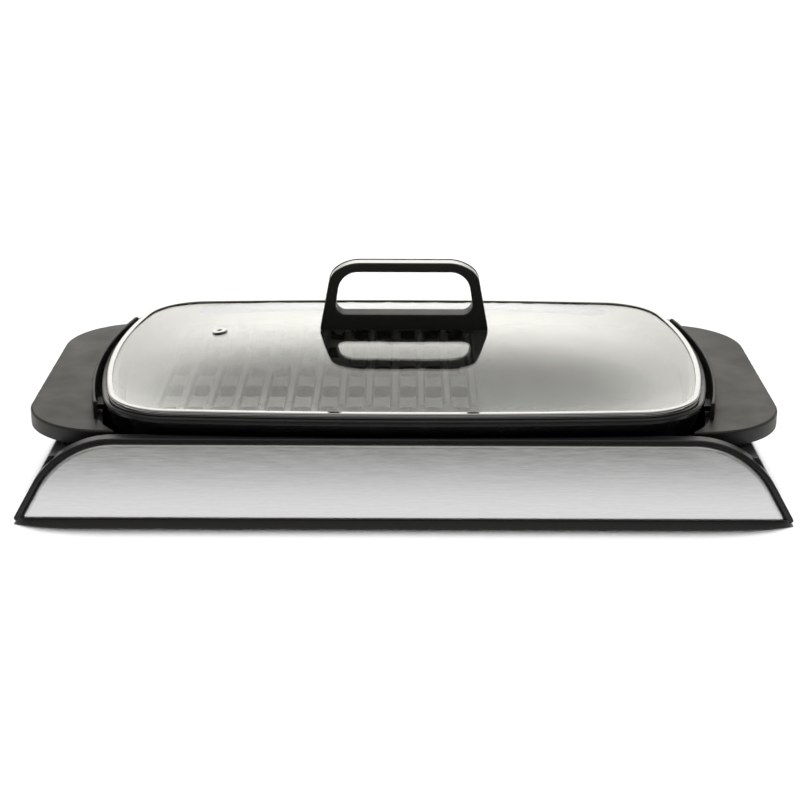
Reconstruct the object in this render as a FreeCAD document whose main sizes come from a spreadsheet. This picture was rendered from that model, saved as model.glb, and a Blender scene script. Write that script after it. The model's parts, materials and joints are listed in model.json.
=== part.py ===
import FreeCAD, Part
import math
import operator
import os
import types

import Sketcher

# An electric table grill with a lift-off glass lid.
# Millimetres. +Z is up, the front faces -Y, and the origin lies on the table under the middle of the grill.

# Driving dimensions. Names that end in count are numbers of pieces, and names that end in share are shares.
SIZES = {
    # Shared by all pieces
    "overrun": "20",
    "fit_gap": "0.3",
    # Outline of the lid, at the outer edge of its steel rim. Its four sides bow out between the corners.
    "lid_length": "468",
    "lid_depth": "292",
    "lid_corner": "52",
    "lid_front_bow": "2900",
    "lid_side_bow": "440",
    # Lid
    "rim_height": "5.3",
    "rim_width": "4.2",
    "rim_round": "1.1",
    "rim_wall": "0.6",
    "rim_foot_height": "1.4",
    "rim_groove_height": "1.3",
    "rim_groove_depth": "0.9",
    "glass_inset": "2.2",
    "glass_thickness": "3",
    "dome_rise": "21.7",
    "vent_margin": "86",
    "vent_bore": "4",
    "vent_tube": "7.4",
    "vent_flange": "12.6",
    "vent_flange_thickness": "0.8",
    # Loop handle on the lid
    "gasket_thickness": "1",
    "gasket_margin": "1.5",
    "gasket_length": "20",
    "loop_foot_length": "133.6",
    "loop_shoulder_length": "116.8",
    "loop_shoulder_drop": "9",
    "loop_shoulder_round": "16",
    "loop_top_length": "88",
    "loop_top_round": "32",
    "loop_height": "53.6",
    "loop_base_height": "11.5",
    "loop_bar": "7.8",
    "loop_window_length": "111",
    "loop_window_top_length": "100.6",
    "loop_window_corner": "16",
    "loop_window_foot": "8",
    "loop_window_round": "3",
    "loop_foot_depth": "22",
    "loop_top_depth": "15.5",
    "loop_round": "1.4",
    "inlay_width": "12",
    "inlay_thickness": "1",
    "inlay_recess": "0.4",
    "inlay_foot": "6",
    "lid_screw_spacing": "104",
    "lid_screw_shank": "4",
    "lid_screw_head": "8",
    "lid_screw_head_height": "2.6",
    "lid_screw_grip": "7",
    "lid_washer_diameter": "14",
    "lid_washer_thickness": "1.2",
    # Cooking plate
    "plate_top": "77.5",
    "plate_lip": "4",
    "plate_lip_height": "5",
    "plate_lip_round": "1.6",
    "seat_drop": "1",
    "seat_gap": "0.8",
    "wall_top_grow": "1.5",
    "wall_foot_inset": "3.2",
    "skirt_bottom": "53",
    "skirt_wall": "4",
    "well_top_inset": "9",
    "well_floor_inset": "13.5",
    "well_depth": "13.5",
    "floor_thickness": "5",
    "rib_count": "13",
    "rib_pitch": "20.2",
    "rib_width": "7.4",
    "rib_crest": "4.6",
    "rib_height": "3.5",
    "rib_crest_round": "1.4",
    "rib_margin": "28",
    "rib_side_margin": "45.3",
    "slot_width": "12.4",
    "slot_length": "26",
    "slot_round": "4.5",
    "slot_row_count": "5",
    "slot_end_margin": "18",
    # Heating element and inlet
    "element_diameter": "6.6",
    "element_left_margin": "25",
    "element_inner_margin": "59",
    "element_outer_margin": "29",
    "element_return_margin": "46",
    "element_turn": "22",
    "element_bend": "14",
    "ridge_width": "13",
    "ridge_height": "7",
    "inlet_margin": "104",
    "pin_spacing": "26",
    "pin_diameter": "4",
    "pin_stem": "3.2",
    "pin_length": "7",
    "insulator_diameter": "7.6",
    "insulator_length": "5",
    "earth_pin_drop": "8",
    "probe_bore": "5.2",
    "probe_tube": "6.6",
    "probe_depth": "46",
    "shroud_length": "62",
    "shroud_height": "29.5",
    "shroud_depth": "13.5",
    "shroud_wall": "2",
    "shroud_corner": "8",
    "shroud_drop": "15",
    "tongue_length": "74",
    "tongue_reach": "30",
    "tongue_thickness": "2",
    "inlet_screw_spacing": "58",
    "inlet_screw_shank": "4",
    "inlet_screw_head": "7",
    "inlet_screw_head_height": "2.2",
    "inlet_boss": "9",
    # Side handles
    "handle_reach": "52.8",
    "handle_inset": "13.3",
    "handle_corner": "61.5",
    "handle_top": "63.3",
    "handle_thickness": "11.8",
    "handle_skin": "3",
    "handle_wall": "2.6",
    "handle_round": "1.8",
    "handle_root": "40",
    "guard_gap": "5",
    "guard_wall": "2.8",
    "guard_top": "76.6",
    "guard_round": "1.2",
    "guard_inset": "39",
    "lug_margin": "77.7",
    "lug_width": "16",
    "lug_reach": "18",
    "lug_thickness": "4",
    "handle_boss": "9",
    "handle_screw_shank": "4",
    "handle_screw_head": "7.5",
    "handle_screw_head_height": "2.4",
    "handle_screw_grip": "2",
    # Base
    "base_bottom": "2.2",
    "base_margin": "14",
    "front_lean": "4.5",
    "arch_top": "65.4",
    "arch_splay": "36",
    "arch_margin": "18",
    "arch_corner": "70",
    "arch_toe": "1.8",
    "bead_width": "3.8",
    "bead_proud": "0.8",
    "bead_round": "1.3",
    "frame_depth": "14",
    "frame_lap": "4",
    "tub_inset": "1",
    "ledge_height": "50",
    "base_wall": "3.2",
    "base_floor": "3",
    "opening_gap": "5",
    "rest_rib_wall": "4",
    "rest_rib_margin": "42.7",
    "rest_rib_inset": "3",
    "panel_sheet": "0.8",
    "panel_gap": "0.2",
    "panel_curl": "4",
    "panel_pocket": "6.3",
    "foot_diameter": "20",
    "foot_end_margin": "58",
    "foot_side_margin": "35",
    "foot_recess": "2",
    "foot_screw_shank": "3.6",
    "foot_screw_head": "8",
    "foot_screw_head_height": "1.2",
    "foot_screw_sink": "1.6",
    "foot_boss": "9",
    "foot_boss_height": "8",
    # Drip tray
    "tray_margin": "44",
    "tray_front_margin": "22",
    "tray_height": "15",
    "tray_sheet": "1",
    "tray_corner": "14",
    "tray_flange": "5",
    "tray_side_gap": "2",
    "guide_wall": "2.5",
    "guide_height": "9",
    "guide_margin": "25",
    "grip_thickness": "6",
    "grip_height": "18",
    "grip_gap": "1",
    "grip_recess_length": "90",
    "grip_recess_height": "9",
    "grip_recess_depth": "4",
    "grip_recess_corner": "3",
    "rivet_margin": "80",
    "rivet_shank": "4",
    "rivet_head": "7",
    "rivet_head_height": "1.2",
}

# How steeply the glass falls towards its ends and its edge: the exponents of the dome's formula.
DOME_END_POWER = 4
DOME_EDGE_POWER = 1.3

OPERATIONS = {"+": operator.add, "-": operator.sub, "*": operator.mul, "/": operator.truediv}


class Size:
    """A number worked out from the sheet: its value now, and the expression that binds it there."""

    def __init__(self, value, text):
        self.value = value
        self.text = text

    def join(self, sign, other, swapped=False):
        first, second = (as_size(other), self) if swapped else (self, as_size(other))
        value = OPERATIONS[sign](first.value, second.value)
        return Size(value, f"({first.text} {sign} {second.text})")

    def __add__(self, other):
        return self.join("+", other)

    def __radd__(self, other):
        return self.join("+", other, swapped=True)

    def __sub__(self, other):
        return self.join("-", other)

    def __rsub__(self, other):
        return self.join("-", other, swapped=True)

    def __mul__(self, other):
        return self.join("*", other)

    def __rmul__(self, other):
        return self.join("*", other, swapped=True)

    def __truediv__(self, other):
        return self.join("/", other)

    def __neg__(self):
        return Size(-self.value, f"(-{self.text})")


def as_size(number):
    return number if isinstance(number, Size) else Size(number, str(number))


def hypotenuse(a, b):
    a, b = as_size(a), as_size(b)
    return Size(math.hypot(a.value, b.value), f"sqrt({a.text} * {a.text} + {b.text} * {b.text})")


doc = FreeCAD.newDocument("TableGrill")
sheet = doc.addObject("Spreadsheet::Sheet", "Sizes")
for row, (alias, number) in enumerate(SIZES.items(), start=1):
    sheet.set(f"A{row}", alias)
    sheet.set(f"B{row}", number)
    sheet.setAlias(f"B{row}", alias)
doc.recompute()
s = types.SimpleNamespace(
    **{alias: Size(float(number), f"Sizes.{alias}") for alias, number in SIZES.items()})

ZERO = as_size(0)
NODES = []


# Document helpers

def bind(thing, path, size):
    thing.setExpression(path, as_size(size).text)


def place(thing, x=ZERO, y=ZERO, z=ZERO, rotation=None):
    """Put an object at x, y, z, turned by a rotation that depends on no size."""
    corner = [as_size(value) for value in (x, y, z)]
    base = FreeCAD.Vector(*[size.value for size in corner])
    thing.Placement = FreeCAD.Placement(base, rotation or FreeCAD.Rotation())
    for axis, size in zip("xyz", corner):
        bind(thing, f"Placement.Base.{axis}", size)
    return thing


def node(thing, name):
    """Name a finished sub-part: the label is also its file's name."""
    thing.Label = name
    NODES.append(thing)
    return thing


def new_body(name):
    return doc.addObject("PartDesign::Body", name)


def origin_feature(body, role):
    return next(feature for feature in body.Origin.OriginFeatures if feature.Role == role)


def new_sketch(body, plane, level):
    """A sketch on one of the body's planes, level away from it along +Z, +Y or +X."""
    sketch = body.newObject("Sketcher::SketchObject", f"{body.Name}_sketch")
    sketch.AttachmentSupport = (origin_feature(body, plane), [""])
    sketch.MapMode = "FlatFace"
    offset = -as_size(level) if plane == "XZ_Plane" else as_size(level)
    sketch.AttachmentOffset = FreeCAD.Placement(FreeCAD.Vector(0, 0, offset.value), FreeCAD.Rotation())
    bind(sketch, "AttachmentOffset.Base.z", offset)
    return sketch


def extrude(kind, body, sketch, length, reverse):
    feature = body.newObject(f"PartDesign::{kind}", f"{body.Name}_{kind}")
    feature.Profile = sketch
    feature.Reversed = reverse
    bind(feature, "Length", length)
    doc.recompute()
    return feature


def pad(body, sketch, length, reverse=False):
    return extrude("Pad", body, sketch, length, reverse)


def pocket(body, sketch, length, reverse=False):
    before = body.Shape.Volume
    feature = extrude("Pocket", body, sketch, length, reverse)
    if body.Shape.Volume >= before:
        raise RuntimeError(f"a pocket in {body.Name} cuts nothing")
    return feature


def loft(kind, body, first, last):
    feature = body.newObject(f"PartDesign::{kind}", f"{body.Name}_{kind}")
    feature.Profile = first
    feature.Sections = [last]
    feature.Ruled = True
    doc.recompute()
    return feature


def row_of(body, feature, count, pitch):
    """Repeat a feature along +X."""
    pattern = body.newObject("PartDesign::LinearPattern", f"{body.Name}_row")
    pattern.Originals = [feature]
    pattern.Direction = (origin_feature(body, "X_Axis"), [""])
    pattern.Mode = "Spacing"
    bind(pattern, "Offset", pitch)
    bind(pattern, "Occurrences", count)
    body.Tip = pattern
    doc.recompute()
    return pattern


def edges_where(shape, test):
    """Names of the edges whose box passes a test."""
    return [f"Edge{i}" for i, edge in enumerate(shape.Edges, start=1) if test(edge.BoundBox)]


def at_height(z):
    """A test for edges that lie level at one height."""
    tolerance = s.fit_gap.value / 10
    return lambda box: abs(box.ZMin - z.value) < tolerance and abs(box.ZMax - z.value) < tolerance


def fillet(body, test, radius):
    tip = body.Tip
    feature = body.newObject("PartDesign::Fillet", f"{body.Name}_fillet")
    feature.Base = (tip, edges_where(tip.Shape, test))
    bind(feature, "Radius", radius)
    doc.recompute()
    return feature


def round_edges(thing, test, radius):
    """Round the edges of a finished boolean."""
    doc.recompute()
    feature = doc.addObject("Part::Fillet", f"{thing.Name}_round")
    feature.Base = thing
    names = edges_where(thing.Shape, test)
    feature.Edges = [(int(name[len("Edge"):]), radius.value, radius.value) for name in names]
    doc.recompute()
    return feature


def boolean(kind, base, tool):
    feature = doc.addObject(f"Part::{kind}", f"{base.Name}_{kind}")
    feature.Base = base
    feature.Tool = tool
    feature.Refine = True
    return feature


def joined(things):
    """Several solids as one tool."""
    if len(things) == 1:
        return things[0]
    feature = doc.addObject("Part::MultiFuse", f"{things[0].Name}_Joined")
    feature.Shapes = list(things)
    feature.Refine = True
    return feature


def cut(base, *tools):
    return boolean("Cut", base, joined(tools))


def fuse(*things):
    return joined(things)


def common(base, *tools):
    for tool in tools:
        base = boolean("Common", base, tool)
    return base


def group(name, things):
    """Separate solids that make one node."""
    compound = doc.addObject("Part::Compound", name)
    compound.Links = things
    return node(compound, name)


def box(x, y, z):
    """A box between pairs of coordinates."""
    thing = doc.addObject("Part::Box", "Box")
    for side, (low, high) in zip(("Length", "Width", "Height"), (x, y, z)):
        bind(thing, side, high - low)
    return place(thing, x[0], y[0], z[0])


def across(width, middle=ZERO):
    """A pair of coordinates, width apart, about a middle."""
    return (middle - width / 2, middle + width / 2)


TURNS = {"Z": FreeCAD.Rotation(), "Y": FreeCAD.Rotation(FreeCAD.Vector(1, 0, 0), -90),
         "X": FreeCAD.Rotation(FreeCAD.Vector(0, 1, 0), 90)}


def rod(diameter, length, x, y, z, axis="Z"):
    """A round rod from x, y, z along +Z, +Y or +X."""
    thing = doc.addObject("Part::Cylinder", "Rod")
    bind(thing, "Radius", diameter / 2)
    bind(thing, "Height", length)
    return place(thing, x, y, z, TURNS[axis])


# Sketch helpers

class Outline:
    """Collects a sketch's constraints, each bound to the sheet, and adds them all at once."""

    def __init__(self, sketch):
        self.sketch = sketch
        self.constraints = []
        self.bound = []

    def add(self, *parts, size=None):
        if size is None:
            self.constraints.append(Sketcher.Constraint(*parts))
            return
        self.bound.append((len(self.constraints), size))
        self.constraints.append(Sketcher.Constraint(*parts, size.value))

    def fix_point(self, geometry, end, x, y):
        for kind, axis, size in (("DistanceX", -2, as_size(x)), ("DistanceY", -1, as_size(y))):
            if size.value == 0:
                self.add("PointOnObject", geometry, end, axis)
            else:
                self.add(kind, -1, 1, geometry, end, size=size)

    def close(self):
        start = self.sketch.ConstraintCount
        self.sketch.addConstraint(self.constraints)
        for index, size in self.bound:
            bind(self.sketch, f"Constraints[{start + index}]", size)
        return self.sketch


def arc_between(centre, start, end):
    """An arc drawn anticlockwise from start to end."""
    spoke, last = start - centre, end - centre
    turn = [math.atan2(v.y, v.x) for v in (spoke, last)]
    return Part.ArcOfCircle(Part.Circle(centre, FreeCAD.Vector(0, 0, 1), spoke.Length), *turn)


def circle(sketch, x, y, diameter):
    x, y = as_size(x), as_size(y)
    ring = Part.Circle(FreeCAD.Vector(x.value, y.value, 0), FreeCAD.Vector(0, 0, 1), diameter.value / 2)
    index = sketch.addGeometry(ring, False)
    outline = Outline(sketch)
    outline.fix_point(index, 3, x, y)
    outline.add("Radius", index, size=diameter / 2)
    return outline.close()


def rounded(sketch, corners, closed=True):
    """Straight runs between corners (x, y, radius), with an arc at each corner whose radius isn't None."""
    corners = [(as_size(x), as_size(y), radius) for x, y, radius in corners]
    points = [FreeCAD.Vector(x.value, y.value, 0) for x, y, _ in corners]
    count = len(corners)
    outline = Outline(sketch)
    arrive, leave, arcs = list(points), list(points), {}
    for i, (x, y, radius) in enumerate(corners):
        if radius is None:
            continue
        back = (points[i - 1] - points[i]).normalize()
        ahead = (points[(i + 1) % count] - points[i]).normalize()
        half_turn = back.getAngle(ahead) / 2
        reach = radius.value / math.tan(half_turn)
        arrive[i], leave[i] = points[i] + back * reach, points[i] + ahead * reach
        centre = points[i] + (back + ahead).normalize() * (radius.value / math.sin(half_turn))
        left_turn = back.cross(ahead).z < 0
        ends = (arrive[i], leave[i]) if left_turn else (leave[i], arrive[i])
        arcs[i] = (sketch.addGeometry(arc_between(centre, *ends), False), left_turn)
        outline.add("Radius", arcs[i][0], size=radius)
    lines = [sketch.addGeometry(Part.LineSegment(leave[i], arrive[(i + 1) % count]), False)
             for i in range(count if closed else count - 1)]
    for i, (x, y, radius) in enumerate(corners):
        if not closed and i in (0, count - 1):
            outline.fix_point(lines[0 if i == 0 else -1], 1 if i == 0 else 2, x, y)
            continue
        before, after = lines[i - 1], lines[i]
        if radius is None:
            outline.add("Coincident", before, 2, after, 1)
            outline.fix_point(after, 1, x, y)
            continue
        arc, left_turn = arcs[i]
        outline.add("Tangent", before, 2, arc, 1 if left_turn else 2)
        outline.add("Tangent", arc, 2 if left_turn else 1, after, 1)
        corner = sketch.addGeometry(Part.Point(points[i]), True)
        outline.fix_point(corner, 1, x, y)
        outline.add("PointOnObject", corner, 1, before)
        outline.add("PointOnObject", corner, 1, after)
    return outline.close()


def rectangle(sketch, x, y, radius=None):
    return rounded(sketch, [(x[0], y[0], radius), (x[1], y[0], radius),
                            (x[1], y[1], radius), (x[0], y[1], radius)])


def bowed(sketch, grow):
    """The lid's outline, grown by an amount: four bowed sides, joined by round corners."""
    half_x, half_y = s.lid_length / 2 + grow, s.lid_depth / 2 + grow
    corner, long_bow, short_bow = s.lid_corner + grow, s.lid_front_bow + grow, s.lid_side_bow + grow
    long_centre, short_centre = long_bow - half_y, short_bow - half_x
    # The corner's centre lies where the two bows, drawn in by the corner's radius, cross.
    up = FreeCAD.Vector(0, 0, 1)
    middles = {"back": FreeCAD.Vector(0, -long_centre.value, 0),
               "side": FreeCAD.Vector(-short_centre.value, 0, 0)}
    first = Part.Circle(middles["back"], up, (long_bow - corner).value)
    second = Part.Circle(middles["side"], up, (short_bow - corner).value)
    crossing = next(p for p in first.intersect(second) if p.X > 0 and p.Y > 0)
    centre = FreeCAD.Vector(crossing.X, crossing.Y, 0)
    on_back = middles["back"] + (centre - middles["back"]).normalize() * long_bow.value
    on_side = middles["side"] + (centre - middles["side"]).normalize() * short_bow.value

    def turned(point, x_sign, y_sign):
        return FreeCAD.Vector(point.x * x_sign, point.y * y_sign, 0)

    arcs = [
        arc_between(middles["side"], turned(on_side, 1, -1), on_side),
        arc_between(centre, on_side, on_back),
        arc_between(middles["back"], on_back, turned(on_back, -1, 1)),
        arc_between(turned(centre, -1, 1), turned(on_back, -1, 1), turned(on_side, -1, 1)),
        arc_between(turned(middles["side"], -1, 1), turned(on_side, -1, 1), turned(on_side, -1, -1)),
        arc_between(turned(centre, -1, -1), turned(on_side, -1, -1), turned(on_back, -1, -1)),
        arc_between(turned(middles["back"], 1, -1), turned(on_back, -1, -1), turned(on_back, 1, -1)),
        arc_between(turned(centre, 1, -1), turned(on_back, 1, -1), turned(on_side, 1, -1)),
    ]
    indexes = [sketch.addGeometry(arc, False) for arc in arcs]
    outline = Outline(sketch)
    for i, index in enumerate(indexes):
        outline.add("Tangent", index, 2, indexes[(i + 1) % len(indexes)], 1)
    for index in indexes[1::2]:
        outline.add("Radius", index, size=corner)
    for i, radius, x, y in ((0, short_bow, -short_centre, 0), (2, long_bow, 0, -long_centre),
                            (4, short_bow, short_centre, 0), (6, long_bow, 0, long_centre)):
        outline.add("Radius", indexes[i], size=radius)
        outline.fix_point(indexes[i], 3, x, y)
    return outline.close()


def bowed_block(name, grow, low, high):
    """A block of the lid's grown outline between two heights."""
    body = new_body(name)
    pad(body, bowed(new_sketch(body, "XY_Plane", low), grow), high - low)
    return body


# Places and heights that several pieces share
plate_half_length = s.lid_length / 2
plate_half_depth = s.lid_depth / 2
base_front = plate_half_depth + s.base_margin
arch_top_length = s.lid_length + 2 * s.arch_margin
arch_foot_length = arch_top_length + 2 * s.arch_splay
handle_half_depth = plate_half_depth - s.handle_inset
lug_spacing = 2 * (handle_half_depth - s.lug_margin)
rib_length = s.lid_depth - 2 * s.rib_margin
first_rib = plate_half_length - s.rib_side_margin
slot_row_pitch = (rib_length - 2 * s.slot_end_margin) / (s.slot_row_count - 1)
inlet_centre = plate_half_length - s.inlet_margin
vent_offset = plate_half_length - s.vent_margin
tray_length = s.lid_length - 2 * s.tray_margin
rivet_spacing = tray_length - 2 * s.rivet_margin
lid_seat = s.plate_top - s.seat_drop
floor_top = lid_seat - s.well_depth
floor_under = floor_top - s.floor_thickness
element_level = floor_under - s.fit_gap - s.element_diameter / 2
handle_bottom = s.handle_top - s.handle_thickness
handle_under = s.handle_top - s.handle_skin
lug_top = handle_under - s.handle_screw_grip
base_floor_top = s.base_bottom + s.base_floor
glass_edge_bottom = lid_seat + s.rim_wall + s.fit_gap
glass_top = glass_edge_bottom + s.glass_thickness + s.dome_rise
loop_bottom = glass_top + s.gasket_thickness


# Cooking plate

def element_corners(end):
    """The element's route under the plate: runs between the rows of slots, with both ends at the inlet."""
    inner, outer = slot_row_pitch / 2, slot_row_pitch * 3 / 2
    left, right = s.element_left_margin - plate_half_length, plate_half_length - s.element_inner_margin
    far_right, back = plate_half_length - s.element_outer_margin, plate_half_depth - s.element_return_margin
    first_pin, last_pin = across(s.pin_spacing, inlet_centre)
    return [
        (first_pin, end, None), (first_pin, outer, s.element_bend),
        (left, outer, s.element_turn), (left, inner, s.element_turn),
        (right, inner, s.element_turn), (right, -inner, s.element_turn),
        (left, -inner, s.element_turn), (left, -outer, s.element_turn),
        (far_right, -outer, s.element_turn), (far_right, back, s.element_turn),
        (last_pin, back, s.element_bend), (last_pin, end, None),
    ]


def follow_element(name, end, draw_section):
    """A section carried along the element's route, which starts and ends at one Y."""
    body = new_body(name)
    spine = rounded(new_sketch(body, "XY_Plane", element_level), element_corners(end), closed=False)
    section = draw_section(new_sketch(body, "XZ_Plane", end))
    feature = body.newObject("PartDesign::AdditivePipe", f"{name}_pipe")
    feature.Profile = section
    feature.Spine = (spine, [""])
    doc.recompute()
    return body


def plate_casting():
    """The plate's rim, wall, well and skirt, before its ribs and slots."""
    body = new_body("PlateCasting")
    lip_bottom = s.plate_top - s.plate_lip_height
    foot = bowed(new_sketch(body, "XY_Plane", s.skirt_bottom), -s.wall_foot_inset)
    head = bowed(new_sketch(body, "XY_Plane", lip_bottom), s.wall_top_grow)
    loft("AdditiveLoft", body, foot, head)
    pad(body, bowed(new_sketch(body, "XY_Plane", lip_bottom), s.plate_lip), s.plate_lip_height)
    fillet(body, lambda edge: at_height(s.plate_top)(edge) or outer_lip_edge(edge, lip_bottom),
           s.plate_lip_round)
    pocket(body, bowed(new_sketch(body, "XY_Plane", s.plate_top), s.seat_gap), s.seat_drop)
    well_top = bowed(new_sketch(body, "XY_Plane", lid_seat), -s.well_top_inset)
    well_floor = bowed(new_sketch(body, "XY_Plane", floor_top), -s.well_floor_inset)
    loft("SubtractiveLoft", body, well_top, well_floor)
    under = bowed(new_sketch(body, "XY_Plane", s.skirt_bottom), -(s.wall_foot_inset + s.skirt_wall))
    pocket(body, under, floor_under - s.skirt_bottom, reverse=True)
    return body


def plate_ribs():
    """Ribs over the left part of the floor, from front to back."""
    body = new_body("PlateRibs")
    body.AllowCompound = True
    sketch = new_sketch(body, "XZ_Plane", -rib_length / 2)
    root = floor_top - s.floor_thickness / 2
    crest = floor_top + s.rib_height
    left, right = across(s.rib_width, -first_rib)
    crest_left, crest_right = across(s.rib_crest, -first_rib)
    rounded(sketch, [
        (left, root, None), (right, root, None), (right, floor_top, None),
        (crest_right, crest, s.rib_crest_round), (crest_left, crest, s.rib_crest_round),
        (left, floor_top, None)])
    row_of(body, pad(body, sketch, rib_length, reverse=True), s.rib_count, s.rib_pitch)
    return body


def plate_slots():
    """Rows of drain slots between the ribs."""
    body = new_body("PlateSlots")
    body.AllowCompound = True
    sketch = new_sketch(body, "XY_Plane", floor_under - s.fit_gap)
    rows = int(s.slot_row_count.value)
    x = across(s.slot_width, -first_rib + s.rib_pitch / 2)
    for row in range(rows):
        middle = slot_row_pitch * (row - (rows - 1) / 2)
        rectangle(sketch, x, across(s.slot_length, middle), s.slot_round)
    row_of(body, pad(body, sketch, s.floor_thickness + 2 * s.fit_gap), s.rib_count - 1, s.rib_pitch)
    return body


def grill_plate():
    first_pin = inlet_centre - s.pin_spacing / 2
    ridge_bottom = floor_under - s.ridge_height
    skirt_inside = plate_half_depth - s.wall_foot_inset - s.skirt_wall
    # The element lies in a groove in a ridge under the floor.
    ridge = follow_element("ElementRidge", skirt_inside - s.skirt_wall, lambda sketch: rectangle(
        sketch, across(s.ridge_width, first_pin), (ridge_bottom, floor_under + s.fit_gap)))
    groove_width = s.element_diameter + 2 * s.fit_gap
    groove = follow_element("ElementGroove", plate_half_depth, lambda sketch: rectangle(
        sketch, across(groove_width, first_pin), (ridge_bottom - s.fit_gap, floor_under)))
    # The skirt is open where the inlet comes out.
    gate = box(across(s.pin_spacing + s.ridge_width, inlet_centre),
               (skirt_inside - s.skirt_wall, plate_half_depth), (s.skirt_bottom - s.fit_gap, floor_under))
    # Lugs at both ends carry the handles, and bosses under the floor carry the inlet.
    lugs = [lug(side, y) for side in (1, -1) for y in across(lug_spacing)]
    boss_height = floor_under - tongue_top + s.floor_thickness / 2
    bosses = [rod(s.inlet_boss, boss_height, x, inlet_screw_y, tongue_top)
              for x in across(s.inlet_screw_spacing, inlet_centre)]
    lug_hole = s.handle_screw_shank + 2 * s.fit_gap
    holes = [rod(lug_hole, s.lug_thickness + 2 * s.fit_gap, x, y, lug_top - s.lug_thickness - s.fit_gap)
             for x, y in handle_screw_places()]
    holes += [rod(s.inlet_screw_shank, floor_under - tongue_top, x, inlet_screw_y, tongue_top)
              for x in across(s.inlet_screw_spacing, inlet_centre)]
    plate = fuse(plate_casting(), ridge, plate_ribs(), *lugs, *bosses)
    return node(cut(plate, groove, gate, plate_slots(), *holes), "grill_plate")


def outer_lip_edge(edge, height):
    """Whether a level edge lies at the lip's outer face."""
    reach = max(abs(edge.XMin), abs(edge.XMax), abs(edge.YMin) + (s.lid_length - s.lid_depth).value / 2)
    return at_height(height)(edge) and reach > (plate_half_length + s.wall_top_grow).value + s.fit_gap.value


lug_end = plate_half_length + s.lug_reach
handle_screw_x = lug_end - s.lug_width / 2
inlet_screw_y = plate_half_depth - s.tongue_reach + s.inlet_boss / 2
tongue_top = floor_under - s.ridge_height - s.fit_gap


def lug(side, y):
    """A cast arm from the plate's end wall, under the handle."""
    root = plate_half_length - s.wall_foot_inset - s.skirt_wall - s.lug_reach / 2
    x = (root, lug_end) if side > 0 else (-lug_end, -root)
    return box(x, across(s.lug_width, y), (lug_top - s.lug_thickness, lug_top))


def handle_screw_places():
    return [(handle_screw_x * side, y) for side in (1, -1) for y in across(lug_spacing)]


def heating_element():
    body = follow_element("HeatingElement", plate_half_depth + s.fit_gap, lambda sketch: circle(
        sketch, inlet_centre - s.pin_spacing / 2, element_level, s.element_diameter))
    return node(body, "heating_element")


# Inlet at the back, where the control plugs in

shroud_front = plate_half_depth + s.fit_gap
pin_start = shroud_front + s.shroud_wall
probe_level = floor_under - s.fit_gap - s.probe_tube / 2
earth_level = element_level - s.earth_pin_drop


def inlet_pieces():
    ends = across(s.pin_spacing, inlet_centre)
    bead_start = plate_half_depth + s.fit_gap
    stem = s.insulator_length
    group("terminal_insulators", [
        cut(rod(s.insulator_diameter, stem, x, bead_start, element_level, "Y"),
            rod(s.pin_stem, stem, x, bead_start, element_level, "Y")) for x in ends])
    group("terminal_pins", [
        fuse(rod(s.pin_stem, stem, x, bead_start, element_level, "Y"),
             rod(s.pin_diameter, s.pin_length, x, bead_start + stem, element_level, "Y")) for x in ends])
    earth_length = stem + s.pin_length - s.shroud_wall
    node(fuse(rod(s.pin_stem, s.shroud_wall, inlet_centre, shroud_front, earth_level, "Y"),
              rod(s.pin_diameter, earth_length, inlet_centre, pin_start, earth_level, "Y")), "earth_pin")
    probe_start = pin_start - s.probe_depth
    bore_start = probe_start + s.shroud_wall
    node(cut(rod(s.probe_tube, s.probe_depth, inlet_centre, probe_start, probe_level, "Y"),
             rod(s.probe_bore, s.probe_depth, inlet_centre, bore_start, probe_level, "Y")), "probe_sleeve")


def inlet_shroud():
    body = new_body("InletShroud")
    low = element_level - s.shroud_drop
    x, z = across(s.shroud_length, inlet_centre), (low, low + s.shroud_height)
    shell = rectangle(new_sketch(body, "XZ_Plane", shroud_front), x, z, s.shroud_corner)
    pad(body, shell, s.shroud_depth, reverse=True)
    inside = [(side[0] + s.shroud_wall, side[1] - s.shroud_wall) for side in (x, z)]
    mouth = new_sketch(body, "XZ_Plane", shroud_front + s.shroud_depth)
    rectangle(mouth, *inside, s.shroud_corner - s.shroud_wall)
    pocket(body, mouth, s.shroud_depth - s.shroud_wall, reverse=True)
    tongue_bottom = tongue_top - s.tongue_thickness
    tongue_y = (plate_half_depth - s.tongue_reach, shroud_front + s.shroud_wall)
    tongue = box(across(s.tongue_length, inlet_centre), tongue_y, (tongue_bottom, tongue_top))
    before, through = shroud_front - s.overrun / 2, s.shroud_wall + s.overrun
    holes = [rod(s.insulator_diameter + s.fit_gap, through, x, before, element_level, "Y")
             for x in across(s.pin_spacing, inlet_centre)]
    holes.append(rod(s.probe_tube + s.fit_gap, through, inlet_centre, before, probe_level, "Y"))
    holes.append(rod(s.pin_stem, s.shroud_wall, inlet_centre, shroud_front, earth_level, "Y"))
    screw_hole, screw_way = s.inlet_screw_shank + s.fit_gap, s.tongue_thickness + 2 * s.fit_gap
    holes += [rod(screw_hole, screw_way, x, inlet_screw_y, tongue_bottom - s.fit_gap)
              for x in across(s.inlet_screw_spacing, inlet_centre)]
    return node(cut(fuse(body, tongue), *holes), "inlet_shroud")


def screw(shank, head, head_height, grip, x, y, seat, up=True):
    """A screw whose head lies against a level seat and whose shank runs up or down from it."""
    if up:
        return fuse(rod(head, head_height, x, y, seat - head_height), rod(shank, grip, x, y, seat))
    return fuse(rod(head, head_height, x, y, seat), rod(shank, grip, x, y, seat - grip))


def inlet_screws():
    grip = s.tongue_thickness + floor_under - tongue_top - s.inlet_screw_head_height
    group("inlet_screws", [
        screw(s.inlet_screw_shank, s.inlet_screw_head, s.inlet_screw_head_height, grip, x, inlet_screw_y,
              tongue_top - s.tongue_thickness) for x in across(s.inlet_screw_spacing, inlet_centre)])


# Side handles

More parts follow.
